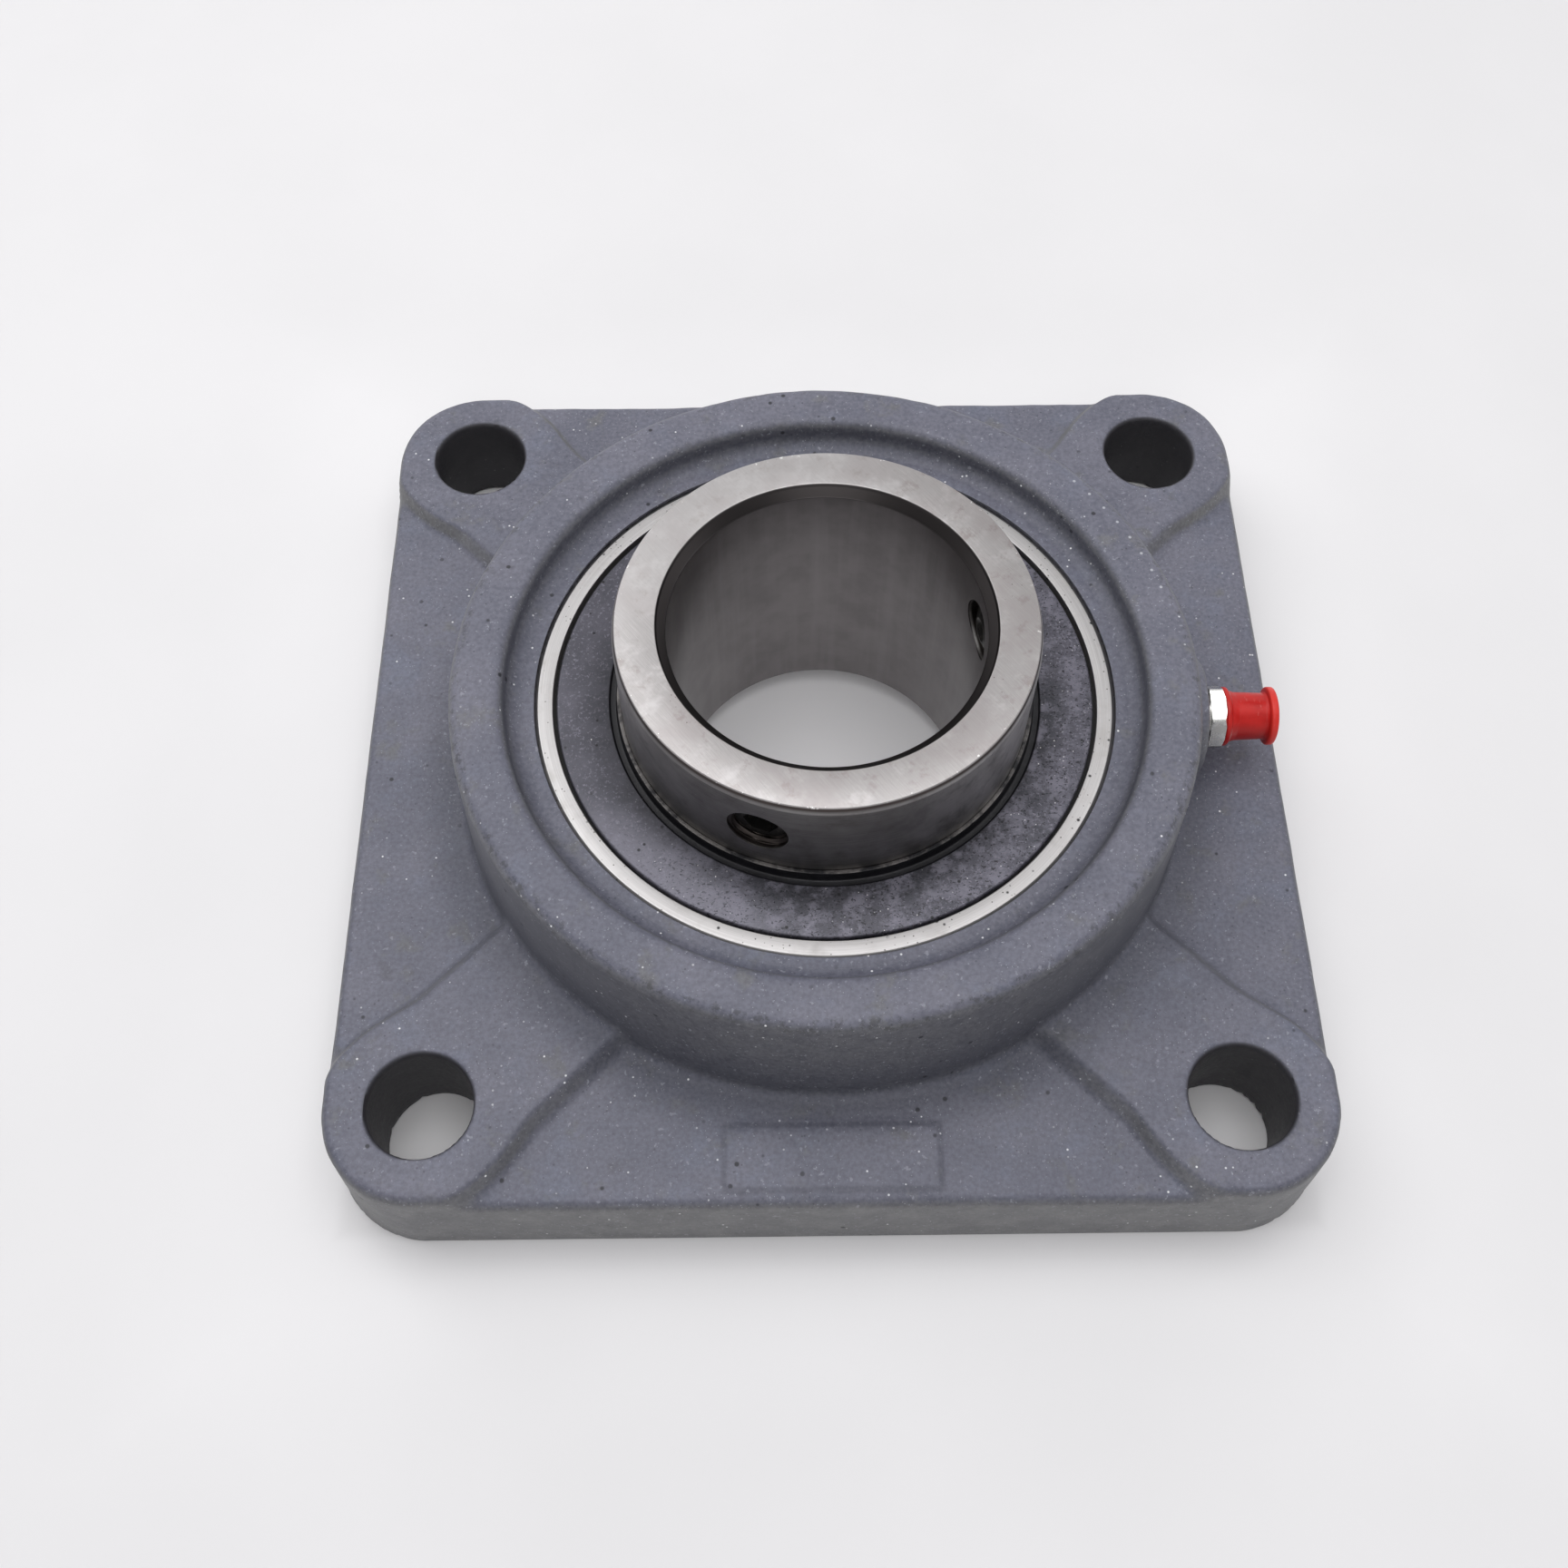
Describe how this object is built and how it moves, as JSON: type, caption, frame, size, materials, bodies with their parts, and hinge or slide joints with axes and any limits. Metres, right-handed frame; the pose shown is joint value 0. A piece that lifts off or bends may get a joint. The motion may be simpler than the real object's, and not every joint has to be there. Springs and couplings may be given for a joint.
{
  "type": "flange mount bearing",
  "caption": "Square cast flange unit with bolt holes at its corners, holding a self-aligning ball bearing insert locked to its shaft by set screws.",
  "frame": {"origin": "centre of the mounting face, on the shaft axis", "axes": "+Z along the shaft axis, out of the front of the bearing; +X towards the grease nipple; the flange's sides lie along X and Y"},
  "size_m": [0.163, 0.163, 0.0584],
  "materials": {
    "cast_paint": "satin sand-cast grain under blue-grey paint",
    "ground_steel": "ground",
    "ball_steel": "polished",
    "cage_steel": "pressed sheet",
    "seal_rubber": "moulded",
    "dark_steel": "rolled sheet",
    "flinger_coat": "dark matt coated sheet",
    "screw_black": "black oxide",
    "zinc_plate": "bright zinc plate",
    "spring_wire": "drawn wire",
    "red_cap": "semi-gloss moulded"
  },
  "bodies": {
    "housing": {"housing": "cast_paint", "grease_nipple_body": "zinc_plate", "nipple_spring": "spring_wire"},
    "outer_race": {"outer_ring": "ground_steel", "seal_front_rubber": "seal_rubber", "seal_front_insert": "dark_steel", "seal_rear_rubber": "seal_rubber", "seal_rear_insert": "dark_steel"},
    "inner_race": {"inner_ring": "ground_steel", "flinger_front": "flinger_coat", "flinger_rear": "flinger_coat"},
    "cage": {"cage_front": "cage_steel", "cage_rear": "cage_steel", "cage_rivets": "cage_steel"},
    "ball_01": {"ball_01": "ball_steel"},
    "ball_02": {"ball_02": "ball_steel"},
    "ball_03": {"ball_03": "ball_steel"},
    "ball_04": {"ball_04": "ball_steel"},
    "ball_05": {"ball_05": "ball_steel"},
    "ball_06": {"ball_06": "ball_steel"},
    "ball_07": {"ball_07": "ball_steel"},
    "ball_08": {"ball_08": "ball_steel"},
    "ball_09": {"ball_09": "ball_steel"},
    "ball_10": {"ball_10": "ball_steel"},
    "set_screw_1": {"set_screw_1": "screw_black"},
    "set_screw_2": {"set_screw_2": "screw_black"},
    "nipple_check_ball": {"nipple_check_ball": "ball_steel"},
    "nipple_cap": {"nipple_cap": "red_cap"}
  },
  "joints": [
    {"name": "swivel", "type": "hinge", "parent": "housing", "child": "outer_race", "pos_m": [0, 0, 0.025], "axis": [0.6, -0.8, 0], "range_deg": [-3, 3]},
    {"name": "shaft_spin", "type": "hinge", "parent": "outer_race", "child": "inner_race", "pos_m": [0, 0, 0.025], "axis": [0, 0, 1], "continuous": true},
    {"name": "cage_spin", "type": "hinge", "parent": "outer_race", "child": "cage", "pos_m": [0, 0, 0.025], "axis": [0, 0, 1], "continuous": true},
    {"name": "ball_01_roll", "type": "hinge", "parent": "cage", "child": "ball_01", "pos_m": [0.03875, 0, 0.025], "axis": [0, 0, 1], "continuous": true},
    {"name": "ball_02_roll", "type": "hinge", "parent": "cage", "child": "ball_02", "pos_m": [0.03135, 0.02278, 0.025], "axis": [0, 0, 1], "continuous": true},
    {"name": "ball_03_roll", "type": "hinge", "parent": "cage", "child": "ball_03", "pos_m": [0.01197, 0.03685, 0.025], "axis": [0, 0, 1], "continuous": true},
    {"name": "ball_04_roll", "type": "hinge", "parent": "cage", "child": "ball_04", "pos_m": [-0.01197, 0.03685, 0.025], "axis": [0, 0, 1], "continuous": true},
    {"name": "ball_05_roll", "type": "hinge", "parent": "cage", "child": "ball_05", "pos_m": [-0.03135, 0.02278, 0.025], "axis": [0, 0, 1], "continuous": true},
    {"name": "ball_06_roll", "type": "hinge", "parent": "cage", "child": "ball_06", "pos_m": [-0.03875, 0, 0.025], "axis": [0, 0, 1], "continuous": true},
    {"name": "ball_07_roll", "type": "hinge", "parent": "cage", "child": "ball_07", "pos_m": [-0.03135, -0.02278, 0.025], "axis": [0, 0, 1], "continuous": true},
    {"name": "ball_08_roll", "type": "hinge", "parent": "cage", "child": "ball_08", "pos_m": [-0.01197, -0.03685, 0.025], "axis": [0, 0, 1], "continuous": true},
    {"name": "ball_09_roll", "type": "hinge", "parent": "cage", "child": "ball_09", "pos_m": [0.01197, -0.03685, 0.025], "axis": [0, 0, 1], "continuous": true},
    {"name": "ball_10_roll", "type": "hinge", "parent": "cage", "child": "ball_10", "pos_m": [0.03135, -0.02278, 0.025], "axis": [0, 0, 1], "continuous": true},
    {"name": "set_screw_1_feed", "type": "slide", "parent": "inner_race", "child": "set_screw_1", "axis": [0.3338, 0.9426, 0], "range_m": [-0.01, 0.001]},
    {"name": "set_screw_2_feed", "type": "slide", "parent": "inner_race", "child": "set_screw_2", "axis": [-0.9833, -0.1822, 0], "range_m": [-0.01, 0.001]},
    {"name": "check_ball_lift", "type": "slide", "parent": "housing", "child": "nipple_check_ball", "axis": [-1, 0, 0], "range_m": [0, 0.0008], "stiffness_N_per_m": 60, "deforming": ["nipple_spring"]},
    {"name": "cap_pull", "type": "slide", "parent": "housing", "child": "nipple_cap", "axis": [1, 0, 0], "range_m": [0, 0.014]}
  ],
  "couplings": [
    {"joint": "cage_spin", "follows": "shaft_spin", "ratio": 0.4078},
    {"joint": "ball_01_roll", "follows": "shaft_spin", "ratio": -2.62},
    {"joint": "ball_02_roll", "follows": "shaft_spin", "ratio": -2.62},
    {"joint": "ball_03_roll", "follows": "shaft_spin", "ratio": -2.62},
    {"joint": "ball_04_roll", "follows": "shaft_spin", "ratio": -2.62},
    {"joint": "ball_05_roll", "follows": "shaft_spin", "ratio": -2.62},
    {"joint": "ball_06_roll", "follows": "shaft_spin", "ratio": -2.62},
    {"joint": "ball_07_roll", "follows": "shaft_spin", "ratio": -2.62},
    {"joint": "ball_08_roll", "follows": "shaft_spin", "ratio": -2.62},
    {"joint": "ball_09_roll", "follows": "shaft_spin", "ratio": -2.62},
    {"joint": "ball_10_roll", "follows": "shaft_spin", "ratio": -2.62}
  ]
}
